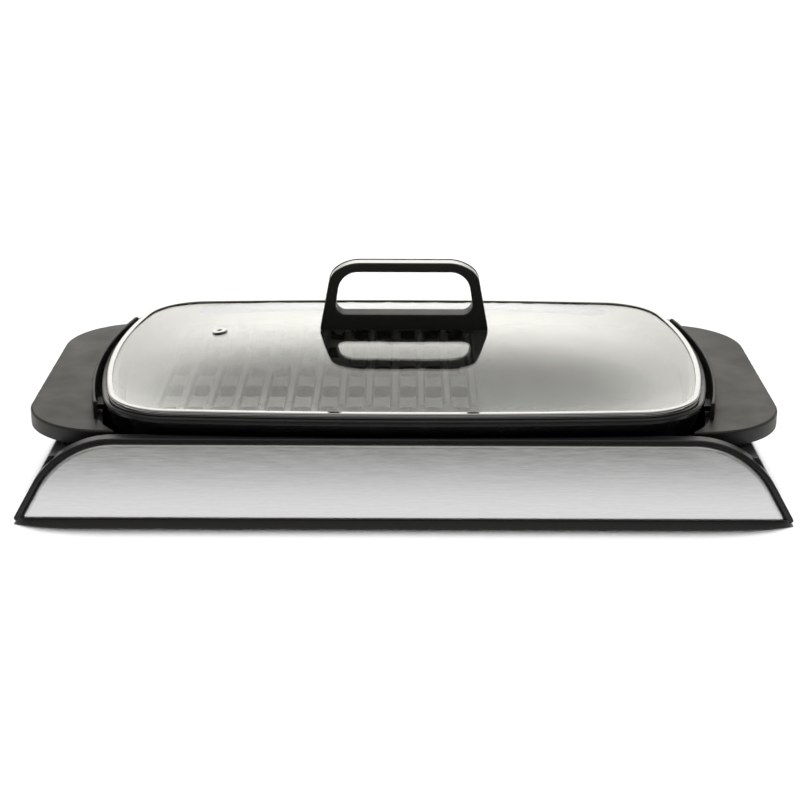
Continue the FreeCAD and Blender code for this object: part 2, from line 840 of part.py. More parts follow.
def right_handle():
    outer = plate_half_length + s.handle_reach
    inner = outer - s.handle_corner - s.handle_root
    inside_gap = s.plate_lip + s.guard_gap

    def slab(name, inset, low, high):
        body = new_body(name)
        y = (inset - handle_half_depth, handle_half_depth - inset)
        corner = s.handle_corner - inset
        sketch = new_sketch(body, "XY_Plane", low)
        rounded(sketch, [(inner, y[0], None), (outer - inset, y[0], corner),
                         (outer - inset, y[1], corner), (inner, y[1], None)])
        pad(body, sketch, high - low)
        return body

    outside = slab("HandleOutside", ZERO, handle_bottom, s.handle_top)
    fillet(outside, lambda edge: at_height(s.handle_top)(edge) and edge.XMax > (inner + s.fit_gap).value,
           s.handle_round)
    below, above = handle_bottom - s.overrun, s.guard_top + s.overrun
    shell = cut(outside, bowed_block("HandleMouth", inside_gap, below, above))
    inner_wall = bowed_block("HandleInnerWall", inside_gap + s.handle_wall, below - s.overrun, s.guard_top)
    hollow = cut(slab("HandleHollow", s.handle_wall, below, handle_under), inner_wall)
    # A guard stands between the fingers and the hot rim.
    guard_length = s.lid_depth - 2 * s.guard_inset
    guard = common(
        cut(bowed_block("GuardOutside", inside_gap + s.guard_wall, handle_under, s.guard_top),
            bowed_block("GuardInside", inside_gap, handle_under - s.overrun, above)),
        box((inner, outer), across(guard_length), (handle_under, above)))
    guard = round_edges(guard, at_height(s.guard_top), s.guard_round)
    handle = fuse(cut(shell, hollow), guard)
    gates = [box((inner, lug_end + s.fit_gap), across(s.lug_width + 2 * s.fit_gap, y), (below, lug_top))
             for y in across(lug_spacing)]
    bosses = [rod(s.handle_boss, handle_under - lug_top + s.handle_skin / 2, handle_screw_x, y, lug_top)
              for y in across(lug_spacing)]
    pilots = [rod(s.handle_screw_shank, s.handle_screw_grip, handle_screw_x, y, lug_top)
              for y in across(lug_spacing)]
    handle = cut(fuse(cut(handle, *gates), *bosses), *pilots)
    return node(handle, "right_handle")


def left_handle(right):
    mirror = doc.addObject("Part::Mirroring", "LeftHandle")
    mirror.Source = right
    mirror.Normal = FreeCAD.Vector(1, 0, 0)
    return node(mirror, "left_handle")


def handle_screws():
    grip = s.lug_thickness + s.handle_screw_grip
    group("handle_screws", [
        screw(s.handle_screw_shank, s.handle_screw_head, s.handle_screw_head_height, grip, x, y,
              lug_top - s.lug_thickness) for x, y in handle_screw_places()])


# Base

front_rise = s.arch_top - s.base_bottom
front_radius = (front_rise * front_rise + s.front_lean * s.front_lean) / (2 * s.front_lean)
arch_slope = (arch_foot_length - arch_top_length) / 2 / front_rise


def arch_corners(inset, drop, toe):
    """The arched front: a flat top, round shoulders and straight sloping sides, drawn in by an inset."""
    lean = hypotenuse(1, arch_slope)
    top, foot = s.arch_top - inset, s.base_bottom - drop
    top_half = arch_top_length / 2 + inset * arch_slope - inset * lean
    foot_half = arch_foot_length / 2 + drop * arch_slope - inset * lean
    shoulder = s.arch_corner - inset
    return [(-foot_half, foot, toe), (foot_half, foot, toe),
            (top_half, top, shoulder), (-top_half, top, shoulder)]


def arch_block(name, inset, drop, toe, y):
    """A block with the arched outline between two Y. Its lower corners are round where a toe is given."""
    body = new_body(name)
    sketch = rounded(new_sketch(body, "XZ_Plane", y[0]), arch_corners(inset, drop, toe))
    pad(body, sketch, y[1] - y[0], reverse=True)
    return body


def bow_roller(inset, side):
    """A long roller whose skin is the bowed front or back face, drawn in by an inset."""
    length = arch_foot_length + 2 * s.overrun
    middle = side * (front_radius - base_front)
    return rod(2 * (front_radius - inset), length, -length / 2, middle, s.base_bottom, "X")


def tub_half(z, inset):
    """Half the tub's length at a height, inside its sloping end wall."""
    return arch_foot_length / 2 - (z - s.base_bottom) * arch_slope - inset


def tub_section(sketch, inset, low, high):
    return rounded(sketch, [(-tub_half(low, inset), low, None), (tub_half(low, inset), low, None),
                            (tub_half(high, inset), high, None), (-tub_half(high, inset), high, None)])


tray_opening_length = tray_length + 2 * (s.tray_flange + s.tray_side_gap)
tray_opening_height = s.grip_height + 2 * s.grip_gap


def base_housing():
    tub = new_body("BaseTub")
    frame_back = base_front - s.frame_depth
    half = frame_back + s.frame_lap
    tub_front = new_sketch(tub, "XZ_Plane", -half)
    pad(tub, tub_section(tub_front, s.tub_inset, s.base_bottom, s.ledge_height), 2 * half, reverse=True)
    frames = [arch_block("FrontFrame", ZERO, ZERO, s.arch_toe, (-base_front, -frame_back)),
              arch_block("BackFrame", ZERO, ZERO, s.arch_toe, (frame_back, base_front))]
    face = (base_front - s.front_lean - s.fit_gap).value
    shell = round_edges(common(fuse(tub, *frames), bow_roller(ZERO, 1), bow_roller(ZERO, -1)),
                        lambda edge: edge.YMax < -face or edge.YMin > face, s.bead_round)
    hollow = new_body("BaseHollow")
    inner_half = half - s.base_wall
    hollow_front = new_sketch(hollow, "XZ_Plane", -inner_half)
    tub_section(hollow_front, s.tub_inset + s.base_wall, base_floor_top, s.ledge_height - s.base_wall)
    pad(hollow, hollow_front, 2 * inner_half, reverse=True)
    mouth = bowed_block("PlateOpening", s.opening_gap, base_floor_top, s.arch_top + s.overrun)
    panel_bed = arch_block("PanelBed", s.bead_width, s.overrun, None,
                           (-base_front - s.overrun, -base_front + s.panel_pocket))
    tray_gate = box(across(tray_opening_length), (inner_half - s.base_wall, base_front + s.overrun),
                    (base_floor_top, base_floor_top + tray_opening_height))
    low = element_level - s.shroud_drop - s.shroud_wall
    inlet_gate_y = (plate_half_depth - s.tongue_reach, base_front + s.overrun)
    inlet_gate = box(across(s.tongue_length + 2 * s.shroud_wall, inlet_centre), inlet_gate_y,
                     (low, s.arch_top + s.overrun))
    feet = [rod(s.foot_diameter + s.fit_gap, s.foot_recess, x, y, s.base_bottom) for x, y in foot_places()]
    housing = cut(shell, hollow, mouth, panel_bed, tray_gate, inlet_gate)
    outer = tub_half(s.ledge_height, s.tub_inset + s.rest_rib_inset)
    # Ribs on the ledges carry the plate by its handles, and two guides on the floor lead the tray.
    rib_height = (s.ledge_height - s.base_wall / 2, handle_under)
    rest_rib_length = 2 * (handle_half_depth - s.rest_rib_margin)
    added = [box(x, across(rest_rib_length), rib_height)
             for x in ((outer - s.rest_rib_wall, outer), (-outer, -outer + s.rest_rib_wall))]
    guide = tray_opening_length / 2
    guide_height = (base_floor_top - s.base_floor / 2, base_floor_top + s.guide_height)
    guide_length = 2 * (base_front - s.guide_margin)
    added += [box(x, across(guide_length), guide_height)
              for x in ((guide, guide + s.guide_wall), (-guide - s.guide_wall, -guide))]
    added += [rod(s.foot_boss, s.foot_boss_height + s.base_floor / 4, x, y, base_floor_top - s.base_floor / 4)
              for x, y in foot_places()]
    pilots = [rod(s.foot_screw_shank, foot_screw_grip + s.fit_gap, x, y, s.foot_screw_sink)
              for x, y in foot_places()]
    return node(cut(fuse(housing, *added), *feet, *pilots), "base_housing")


def front_panel():
    """Sheet steel in the bead's frame: bowed, with all its edges turned back."""
    inset = s.bead_width + s.panel_gap
    back = -base_front + s.panel_pocket - s.panel_gap

    def bent(name, grow, curl, reach):
        block = arch_block(name, inset + grow, -grow, curl, (-base_front - s.overrun, back + reach))
        bowed_face = common(block, bow_roller(s.bead_proud + grow, 1))
        low = s.base_bottom + grow
        return round_edges(bowed_face, lambda edge: at_height(low)(edge) and edge.XLength > s.lid_depth.value
                           and edge.YMax < (-base_front + s.bead_proud * 3).value, curl)

    outside = bent("PanelOutside", ZERO, s.panel_curl, ZERO)
    inside = bent("PanelInside", s.panel_sheet, s.panel_curl - s.panel_sheet, s.overrun)
    return node(cut(outside, inside), "front_panel")


def foot_places():
    spacing_x = arch_foot_length - 2 * s.foot_end_margin
    spacing_y = 2 * (base_front - s.foot_side_margin)
    return [(x, y) for x in across(spacing_x) for y in across(spacing_y)]


foot_screw_grip = base_floor_top + s.foot_boss_height - s.foot_screw_sink - s.base_floor / 2


def feet_and_screws():
    head_top, foot_height = s.foot_screw_sink, s.base_bottom + s.foot_recess
    group("rubber_feet", [
        cut(rod(s.foot_diameter, foot_height, x, y, ZERO), rod(s.foot_screw_head, head_top, x, y, ZERO),
            rod(s.foot_screw_shank, foot_height, x, y, ZERO)) for x, y in foot_places()])
    group("foot_screws", [
        screw(s.foot_screw_shank, s.foot_screw_head, s.foot_screw_head_height, foot_screw_grip, x, y,
              head_top) for x, y in foot_places()])


# Drip tray

tray_back = base_front - s.grip_thickness - s.front_lean
rivet_level = base_floor_top + s.tray_height / 2


def drip_tray():
    body = new_body("DripTray")
    y = (s.tray_front_margin - base_front, tray_back)
    top = base_floor_top + s.tray_height
    bottom = new_sketch(body, "XY_Plane", base_floor_top)
    pad(body, rectangle(bottom, across(tray_length), y, s.tray_corner), s.tray_height)
    flange_x, flange_y = across(tray_length + 2 * s.tray_flange), (y[0] - s.tray_flange, y[1])
    flange = new_sketch(body, "XY_Plane", top - s.tray_sheet)
    pad(body, rectangle(flange, flange_x, flange_y, s.tray_corner), s.tray_sheet)
    inside_x, inside_y = across(tray_length - 2 * s.tray_sheet), (y[0] + s.tray_sheet, y[1] - s.tray_sheet)
    well = rectangle(new_sketch(body, "XY_Plane", top), inside_x, inside_y, s.tray_corner - s.tray_sheet)
    pocket(body, well, s.tray_height - s.tray_sheet)
    holes = [rod(s.rivet_shank, 2 * s.tray_sheet, x, tray_back - s.tray_sheet * 3 / 2, rivet_level, "Y")
             for x in across(rivet_spacing)]
    return node(cut(body, *holes), "drip_tray")


def tray_grip():
    body = new_body("TrayGrip")
    z = (base_floor_top + s.grip_gap, base_floor_top + s.grip_gap + s.grip_height)
    length = tray_opening_length - 2 * s.grip_gap
    face = tray_back + s.grip_thickness
    bar = rectangle(new_sketch(body, "XZ_Plane", tray_back), across(length), z, s.grip_recess_corner)
    pad(body, bar, s.grip_thickness, reverse=True)
    recess = new_sketch(body, "XZ_Plane", face)
    recess_z = (z[0] - s.overrun, z[0] + s.grip_recess_height)
    rectangle(recess, across(s.grip_recess_length), recess_z, s.grip_recess_corner)
    pocket(body, recess, s.grip_recess_depth, reverse=True)
    holes = [rod(s.rivet_shank, s.grip_thickness / 2, x, tray_back, rivet_level, "Y")
             for x in across(rivet_spacing)]
    return node(cut(body, *holes), "tray_grip")


def tray_rivets():
    start = tray_back - s.tray_sheet
    group("tray_rivets", [
        fuse(rod(s.rivet_head, s.rivet_head_height, x, start - s.rivet_head_height, rivet_level, "Y"),
             rod(s.rivet_shank, s.tray_sheet + s.grip_thickness / 2, x, start, rivet_level, "Y"))
        for x in across(rivet_spacing)])


# Lid

def bow_fall(bow, offset):
    """How far a bowed side falls back from its middle."""
    return bow.value - math.sqrt(bow.value ** 2 - offset ** 2)


def dome_height(x, y):
    """Height of the glass above its edge: nearly flat along the lid, arched across it, nil at the edge."""
    end = plate_half_length.value - bow_fall(s.lid_side_bow, y)
    side = plate_half_depth.value - bow_fall(s.lid_front_bow, x)
    along = max(0, 1 - abs(x / end) ** DOME_END_POWER)
    over = max(0, 1 - (y / side) ** 2)
    return s.dome_rise.value * (along * over) ** DOME_EDGE_POWER


def dome_block(name, drop):
    """A block of the lid's outline whose top is the dome, drop under the glass's upper face."""
    x_shares = [i / 12 for i in range(-12, 13)]
    y_shares = [i / 10 for i in range(-10, 11)]
    edge = (glass_edge_bottom + s.glass_thickness - drop).value
    grid = [[FreeCAD.Vector(u * plate_half_length.value, v * plate_half_depth.value,
                            edge + dome_height(u * plate_half_length.value, v * plate_half_depth.value))
             for v in y_shares] for u in x_shares]
    surface = Part.BSplineSurface()
    surface.interpolate(grid)
    block = doc.addObject("Part::Feature", name)
    depth = s.glass_thickness + s.dome_rise + s.overrun
    block.Shape = surface.toShape().extrude(FreeCAD.Vector(0, 0, -depth.value))
    return block


def lid_glass():
    low = glass_edge_bottom
    outline = bowed_block("GlassOutline", -s.glass_inset, low, glass_top + s.overrun)
    upper, lower = dome_block("GlassUpper", ZERO), dome_block("GlassLower", s.glass_thickness)
    sheet_of_glass = cut(common(outline, upper), lower)
    holes = [rod(s.vent_tube + 3 * s.fit_gap, s.dome_rise + s.overrun, -vent_offset, ZERO, low)]
    holes += [rod(s.lid_screw_shank + s.fit_gap, s.dome_rise + s.overrun, x, ZERO, low)
              for x in across(s.lid_screw_spacing)]
    return node(cut(sheet_of_glass, *holes), "lid_glass")


def lid_rim():
    """Rolled steel round the glass: a round bead over a flat foot, with a groove between them."""
    body = new_body("LidRim")
    top = lid_seat + s.rim_height
    bead_bottom = lid_seat + s.rim_foot_height + s.rim_groove_height
    pad(body, bowed(new_sketch(body, "XY_Plane", bead_bottom), ZERO), top - bead_bottom)
    fillet(body, lambda edge: at_height(top)(edge) or at_height(bead_bottom)(edge), s.rim_round)
    pad(body, bowed(new_sketch(body, "XY_Plane", lid_seat), -s.rim_groove_depth), s.rim_height - s.rim_round)
    pad(body, bowed(new_sketch(body, "XY_Plane", lid_seat), ZERO), s.rim_foot_height)
    pocket(body, bowed(new_sketch(body, "XY_Plane", top), -s.rim_width), s.rim_height + s.fit_gap)
    groove = bowed(new_sketch(body, "XY_Plane", top - s.rim_wall), -(s.glass_inset - s.fit_gap))
    pocket(body, groove, s.rim_height - 2 * s.rim_wall)
    return node(body, "lid_rim")


def vent_grommet():
    """An eyelet through the glass, square to it."""
    step = s.vent_flange.value / 2
    x = -vent_offset.value
    slope = (dome_height(x + step, 0) - dome_height(x - step, 0)) / (2 * step)
    level = (glass_edge_bottom + s.glass_thickness + s.fit_gap).value + dome_height(x, 0)
    body = new_body("VentGrommet")
    bottom = -(s.glass_thickness + 2 * s.vent_flange_thickness)
    pad(body, circle(new_sketch(body, "XY_Plane", ZERO), 0, 0, s.vent_flange), s.vent_flange_thickness)
    pad(body, circle(new_sketch(body, "XY_Plane", ZERO), 0, 0, s.vent_tube), -bottom, reverse=True)
    pad(body, circle(new_sketch(body, "XY_Plane", bottom), 0, 0, s.vent_flange), s.vent_flange_thickness)
    bore = circle(new_sketch(body, "XY_Plane", s.vent_flange_thickness), 0, 0, s.vent_bore)
    pocket(body, bore, s.vent_flange_thickness - bottom)
    tilt = FreeCAD.Rotation(FreeCAD.Vector(0, 1, 0), -math.degrees(math.atan(slope)))
    body.Placement = FreeCAD.Placement(FreeCAD.Vector(x, 0, level), tilt)
    return node(body, "vent_grommet")


def loop_corners(inset):
    """Front view of the loop, drawn in by an inset: wide foot, leaning legs, sloping shoulders, flat top."""
    foot, shoulder, crown = s.loop_foot_length / 2, s.loop_shoulder_length / 2, s.loop_top_length / 2
    high, low = s.loop_height, s.loop_height - s.loop_shoulder_drop
    leg, slope = hypotenuse(foot - shoulder, low), hypotenuse(shoulder - crown, s.loop_shoulder_drop)
    leg_x, leg_z = low / leg, (foot - shoulder) / leg
    slope_x, slope_z = s.loop_shoulder_drop / slope, (shoulder - crown) / slope
    at_shoulder = inset / (1 + leg_x * slope_x + leg_z * slope_z)
    at_crown = inset / (1 + slope_z)
    foot_x = foot - inset / leg_x
    shoulder_x = shoulder - at_shoulder * (leg_x + slope_x)
    shoulder_z = loop_bottom + low - at_shoulder * (leg_z + slope_z)
    crown_x, crown_z = crown - at_crown * slope_x, loop_bottom + high - inset
    bend, turn = s.loop_shoulder_round - inset, s.loop_top_round - inset
    return [(-foot_x, loop_bottom, None), (foot_x, loop_bottom, None), (shoulder_x, shoulder_z, bend),
            (crown_x, crown_z, turn), (-crown_x, crown_z, turn), (-shoulder_x, shoulder_z, bend)]


def loop_block(name, inset, depth):
    body = new_body(name)
    pad(body, rounded(new_sketch(body, "XZ_Plane", -depth / 2), loop_corners(inset)), depth, reverse=True)
    return body


def loop_strip(name, inset):
    """A strip round the loop, over the top and partly down the legs, from an inset to the inlay's bed."""
    outside = loop_block(f"{name}Outside", inset, s.inlay_width)
    inside = loop_block(f"{name}Inside", s.inlay_recess + s.inlay_thickness, s.inlay_width + s.overrun)
    start = loop_bottom + s.loop_base_height + s.inlay_foot
    above = loop_bottom + s.loop_height + s.overrun
    keep = box(across(s.loop_foot_length), across(s.inlay_width), (start, above))
    return common(cut(outside, inside), keep)


def lid_handle():
    block = loop_block("LoopBlock", ZERO, s.loop_foot_depth)
    side = new_body("LoopSide")
    top = loop_bottom + s.loop_height
    foot, head = s.loop_foot_depth / 2, s.loop_top_depth / 2
    side_view = rounded(new_sketch(side, "YZ_Plane", -s.loop_foot_length), [
        (-foot, loop_bottom, None), (foot, loop_bottom, None), (head, top, None), (-head, top, None)])
    pad(side, side_view, 2 * s.loop_foot_length)
    window = new_body("LoopWindow")
    wide, narrow = s.loop_window_length / 2, s.loop_window_top_length / 2
    sill, lintel = loop_bottom + s.loop_base_height, top - s.loop_bar
    opening = rounded(new_sketch(window, "XZ_Plane", -s.loop_foot_depth), [
        (-wide, sill, s.loop_window_foot), (wide, sill, s.loop_window_foot),
        (narrow, lintel, s.loop_window_corner), (-narrow, lintel, s.loop_window_corner)])
    pad(window, opening, 2 * s.loop_foot_depth, reverse=True)
    face, gap = (head - s.fit_gap).value, s.fit_gap.value

    def on_face(edge):
        return (edge.YMax < -face or edge.YMin > face) and edge.ZMax > loop_bottom.value + gap

    def at_window(edge):
        return on_face(edge) and edge.ZMin > sill.value - gap and edge.ZMax < lintel.value + gap and (
            edge.XMin > -wide.value - gap and edge.XMax < wide.value + gap)

    loop = cut(round_edges(common(block, side), on_face, s.loop_round), window)
    loop = round_edges(loop, at_window, s.loop_window_round)
    pilots = [rod(s.lid_screw_shank, s.lid_screw_grip, x, ZERO, loop_bottom)
              for x in across(s.lid_screw_spacing)]
    return node(cut(loop, loop_strip("InlaySeat", ZERO), *pilots), "lid_handle")


def lid_fittings():
    node(loop_strip("Inlay", s.inlay_recess), "handle_inlay")
    depth = s.loop_foot_depth - 2 * s.gasket_margin
    group("handle_gasket", [
        cut(box(across(s.gasket_length, x), across(depth), (glass_top, loop_bottom)),
            rod(s.lid_screw_shank + s.fit_gap, s.gasket_thickness, x, ZERO, glass_top))
        for x in across(s.lid_screw_spacing)])
    under = glass_top - s.glass_thickness - s.fit_gap
    seat = under - s.lid_washer_thickness
    group("lid_washers", [
        cut(rod(s.lid_washer_diameter, s.lid_washer_thickness, x, ZERO, seat),
            rod(s.lid_screw_shank + s.fit_gap, s.lid_washer_thickness, x, ZERO, seat))
        for x in across(s.lid_screw_spacing)])
    grip = loop_bottom + s.lid_screw_grip - seat
    group("lid_screws", [
        screw(s.lid_screw_shank, s.lid_screw_head, s.lid_screw_head_height, grip, x, ZERO, seat)
        for x in across(s.lid_screw_spacing)])


def build():
    grill_plate()
    heating_element()
    inlet_pieces()
    inlet_shroud()
    inlet_screws()
    left_handle(right_handle())
    handle_screws()
    base_housing()
    front_panel()
    feet_and_screws()
    drip_tray()
    tray_grip()
    tray_rivets()
    lid_glass()
    lid_rim()
    vent_grommet()
    lid_handle()
    lid_fittings()
    doc.recompute()


def check_and_write():
    for thing in doc.Objects:
        if {"Invalid", "Error"} & set(thing.State):
            raise RuntimeError(f"{thing.Label} failed: {thing.State}")
    for thing in NODES:
        if thing.Shape.isNull() or not thing.Shape.isValid() or not thing.Shape.Solids:
            raise RuntimeError(f"{thing.Label} has no valid solid")
    os.makedirs("parts", exist_ok=True)
    for thing in NODES:
        thing.Shape.exportStep(f"parts/{thing.Label}.step")


build()
check_and_write()
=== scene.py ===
import json
import math

import bpy
from mathutils import Matrix, Vector


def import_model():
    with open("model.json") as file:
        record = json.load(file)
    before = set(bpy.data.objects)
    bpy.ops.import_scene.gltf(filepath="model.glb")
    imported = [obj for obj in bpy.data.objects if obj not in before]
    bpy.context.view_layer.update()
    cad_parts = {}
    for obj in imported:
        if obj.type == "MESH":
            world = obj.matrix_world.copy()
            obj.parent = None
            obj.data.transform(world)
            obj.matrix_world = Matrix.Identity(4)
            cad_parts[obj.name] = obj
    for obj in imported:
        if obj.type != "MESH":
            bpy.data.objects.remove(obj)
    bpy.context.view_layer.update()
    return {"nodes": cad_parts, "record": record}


# An electric table grill with a domed glass lid, in soft studio light on a pale floor.
# Metres, X to the right, Y to the back, Z up.
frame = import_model()
NODES = frame["nodes"]

# Camera, fitted to the outlines of the lid and the side handles
CAMERA_PLACE = Vector((-0.0001, -1.32533, 0.52197))
CAMERA_PITCH = math.radians(20)
CAMERA_YAW = math.radians(-0.13)
CAMERA_ROLL = math.radians(0.14)
FOCAL_PIXELS = 1731.73
FRAME_PIXELS = 800
SENSOR = 36

# Floor, and the dome over it
FLOOR_SIZE = 100
DOME_RADIUS, DOME_STEPS = 40, 48
BACKDROP_DARK, BACKDROP_LIGHT = 1.30, 1.40

# Card on the floor before the grill: its reach along Y, and where it fades
CARD_START, CARD_END = -0.163, -39
CARD_HALF_LENGTH = 30
CARD_HEIGHT = 0.001
CARD_LIGHT = (1.03, 0.02)
CARD_FADE = (-0.275, -0.41)

# Sky, by direction: brightness, and the spans of x, y or z over which it changes
SKY_TINT = (1, 0.985, 0.93)
BACK_LIGHT, BACK_RISE = (1.40, 2.25), (-0.05, 0.34)
HIGH_SHARE, HIGH_FALL = 0.40, (0.40, 0.74)
SIDE_SHARE, SIDE_FALL = 0.32, (0.05, 0.56)
FRONT_RISE = (0.2, 0.95)
WORLD_FRONT, WORLD_BACK_START = (0.03, 0.05), 0.15
DOME_FRONT, DOME_BACK_START = (0.16, 0.90), -0.35
BACK_FULL = 0.55

# The one light
SUN_POWER = 3.4
SUN_WIDTH = math.radians(14)
SUN_HEIGHT = math.radians(72.5)

# Sockets of the Mix node that share a name
MIX_SHARE, MIX_FIRST, MIX_SECOND = 0, 2, 3
MIX_FIRST_COLOUR, MIX_SECOND_COLOUR, MIX_COLOUR = 6, 7, 2

# Edges that the CAD leaves sharp: width of the rounding by node
EDGE_ROUNDS = {"front_panel": 0.0004, "inlet_shroud": 0.0004, "tray_grip": 0.0005}
EDGE_ANGLE = math.radians(50)
EDGE_SEGMENTS = 2

# Noise textures, and the span that most of their values lie in
NOISE_ROUGHNESS = 0.55
NOISE_SPAN = (0.3, 0.7)

# Brushed lines of the panel: repeats per metre along X, Y and Z, and the usual span of both together
HAIR_LINES, LONG_LINES = (130, 1700, 1700), (40, 700, 700)
LINES_SPAN = (0.75, 1.25)

# The plate's coating: its roughness, and the stretch of Y over which that grows
COATING_ROUGH, COATING_STRETCH = (0.20, 0.64), (-0.10, 0.01)


def add_node(tree, kind, inputs, output, **properties):
    """Adds a shader node with constants or links on its inputs, and returns one of its outputs."""
    made = tree.nodes.new(f"ShaderNode{kind}")
    for name, value in properties.items():
        setattr(made, name, value)
    for name, value in inputs.items():
        if isinstance(value, bpy.types.NodeSocket):
            tree.links.new(value, made.inputs[name])
        else:
            made.inputs[name].default_value = value
    return made.outputs[output]


class Shader:
    """A node material that builds on one Principled shader, with textures in the part's metres."""

    def __init__(self, name, **settings):
        self.material = bpy.data.materials.new(name)
        self.material.use_nodes = True
        self.tree = self.material.node_tree
        self.principled = self.tree.nodes["Principled BSDF"]
        self.place = self.tree.nodes.new("ShaderNodeTexCoord").outputs["Object"]
        for socket, value in settings.items():
            self.set(socket.replace("_", " "), value)

    def set(self, socket, value):
        """Sets a socket to a constant, or links an output to it."""
        target = self.principled.inputs[socket]
        if isinstance(value, bpy.types.NodeSocket):
            self.tree.links.new(value, target)
        else:
            target.default_value = value

    def node(self, kind, inputs, output, **properties):
        return add_node(self.tree, kind, inputs, output, **properties)

    def noise(self, scale=1.0, stretch=(1, 1, 1), detail=3.0):
        place = self.node("Mapping", {"Vector": self.place, "Scale": stretch}, "Vector")
        inputs = {"Vector": place, "Scale": scale, "Detail": detail, "Roughness": NOISE_ROUGHNESS}
        return self.node("TexNoise", inputs, "Fac")

    def spread(self, value, to, span=NOISE_SPAN):
        """Maps a span of values, by default a noise's usual one, to another."""
        inputs = {"Value": value, "From Min": span[0], "From Max": span[1],
                  "To Min": to[0], "To Max": to[1]}
        return self.node("MapRange", inputs, "Result")

    def add(self, first, second):
        return self.node("Math", {0: first, 1: second}, "Value", operation="ADD")

    def along_y(self):
        return self.node("SeparateXYZ", {"Vector": self.place}, "Y")

    def blend(self, share, first, second):
        inputs = {"Factor": share, MIX_FIRST_COLOUR: (*first, 1), MIX_SECOND_COLOUR: (*second, 1)}
        return self.node("Mix", inputs, MIX_COLOUR, data_type="RGBA")

    def bump(self, height, depth):
        inputs = {"Height": height, "Strength": 1.0, "Distance": depth}
        return self.node("Bump", inputs, "Normal")


def grey(value):
    return (value, value, value)


def moulded_plastic(name, dark, light, ior, rough, grain, depth):
    """Black plastic with the fine grain of an etched mould and slow changes of gloss."""
    made = Shader(name, IOR=ior)
    slow = made.noise(scale=38)
    made.set("Base Color", made.blend(slow, dark, light))
    made.set("Roughness", made.spread(slow, to=rough))
    made.set("Normal", made.bump(made.noise(scale=grain, detail=2), depth))
    return made.material


def base_plastic():
    return moulded_plastic("base_plastic", dark=(0.007, 0.007, 0.008), light=(0.010, 0.010, 0.011),
                           ior=1.42, rough=(0.30, 0.40), grain=1500, depth=0.00003)


def handle_plastic():
    return moulded_plastic("handle_plastic", dark=(0.006, 0.0052, 0.0045), light=(0.009, 0.0080, 0.007),
                           ior=1.46, rough=(0.46, 0.56), grain=1900, depth=0.00005)


def loop_plastic():
    return moulded_plastic("loop_plastic", dark=(0.030, 0.030, 0.027), light=(0.037, 0.037, 0.034),
                           ior=1.12, rough=(0.30, 0.38), grain=2400, depth=0.00001)


def panel_steel():
    """Steel sheet brushed along its length: short hair lines over longer, fainter ones."""
    made = Shader("panel_steel", Metallic=1.0, Anisotropic=0.55)
    lines = made.add(made.noise(stretch=HAIR_LINES), made.noise(stretch=LONG_LINES, detail=2))
    share = made.spread(lines, to=(0, 1), span=LINES_SPAN)
    made.set("Base Color", made.blend(share, grey(0.74), grey(0.86)))
    made.set("Roughness", made.spread(lines, to=(0.30, 0.40), span=LINES_SPAN))
    made.set("Normal", made.bump(lines, depth=0.00002))
    made.set("Tangent", made.node("Tangent", {}, "Tangent", direction_type="RADIAL", axis="X"))
    return made.material


def polished_steel(name, dark, light, rough):
    made = Shader(name, Metallic=1.0)
    made.set("Base Color", made.blend(made.noise(scale=60), grey(dark), grey(light)))
    made.set("Roughness", made.spread(made.noise(scale=420, stretch=(1, 1, 6)), to=rough))
    return made.material


def rim_steel():
    return polished_steel("rim_steel", dark=0.34, light=0.41, rough=(0.05, 0.10))


def bright_inlay():
    return polished_steel("bright_inlay", dark=0.31, light=0.37, rough=(0.20, 0.28))


def zinc_steel():
    return polished_steel("zinc_steel", dark=0.52, light=0.62, rough=(0.26, 0.38))


def tray_steel():
    """Sheet with faint rolling lines along its length."""
    made = Shader("tray_steel", Metallic=1.0)
    rolled = made.noise(stretch=(14, 500, 500))
    made.set("Base Color", made.blend(rolled, grey(0.50), grey(0.60)))
    made.set("Roughness", made.spread(rolled, to=(0.26, 0.38)))
    made.set("Normal", made.bump(rolled, depth=0.00001))
    return made.material


def element_steel():
    """Steel tube, dark and scaly from heat."""
    made = Shader("element_steel", Metallic=1.0)
    scale = made.noise(scale=220)
    made.set("Base Color", made.blend(scale, (0.10, 0.095, 0.09), (0.20, 0.185, 0.17)))
    made.set("Roughness", made.spread(scale, to=(0.42, 0.6)))
    made.set("Normal", made.bump(scale, depth=0.00003))
    return made.material


def nonstick():
    """Black coating, sprayed on with a slight orange peel, and smoother towards the front edge."""
    made = Shader("nonstick", IOR=1.38)
    slow = made.noise(scale=45)
    made.set("Base Color", made.blend(slow, grey(0.006), grey(0.011)))
    coarse = made.spread(made.along_y(), to=COATING_ROUGH, span=COATING_STRETCH)
    made.set("Roughness", made.add(coarse, made.spread(slow, to=(0, 0.06))))
    made.set("Normal", made.bump(made.noise(scale=300, detail=1), depth=0.000008))
    return made.material


def brass():
    made = Shader("brass", Metallic=1.0)
    slow = made.noise(scale=300)
    made.set("Base Color", made.blend(slow, (0.62, 0.44, 0.17), (0.74, 0.56, 0.26)))
    made.set("Roughness", made.spread(slow, to=(0.22, 0.34)))
    return made.material


def ceramic():
    made = Shader("ceramic", Roughness=0.62)
    speck = made.noise(scale=900)
    made.set("Base Color", made.blend(speck, (0.70, 0.66, 0.58), (0.80, 0.77, 0.70)))
    made.set("Normal", made.bump(speck, depth=0.00002))
    return made.material


def soft_black(name, rough):
    made = Shader(name)
    grain = made.noise(scale=1300)
    made.set("Base Color", made.blend(grain, grey(0.012), grey(0.022)))
    made.set("Roughness", made.spread(grain, to=rough))
    made.set("Normal", made.bump(grain, depth=0.00003))
    return made.material


def rubber():
    return soft_black("rubber", rough=(0.72, 0.84))


def silicone():
    return soft_black("silicone", rough=(0.48, 0.58))


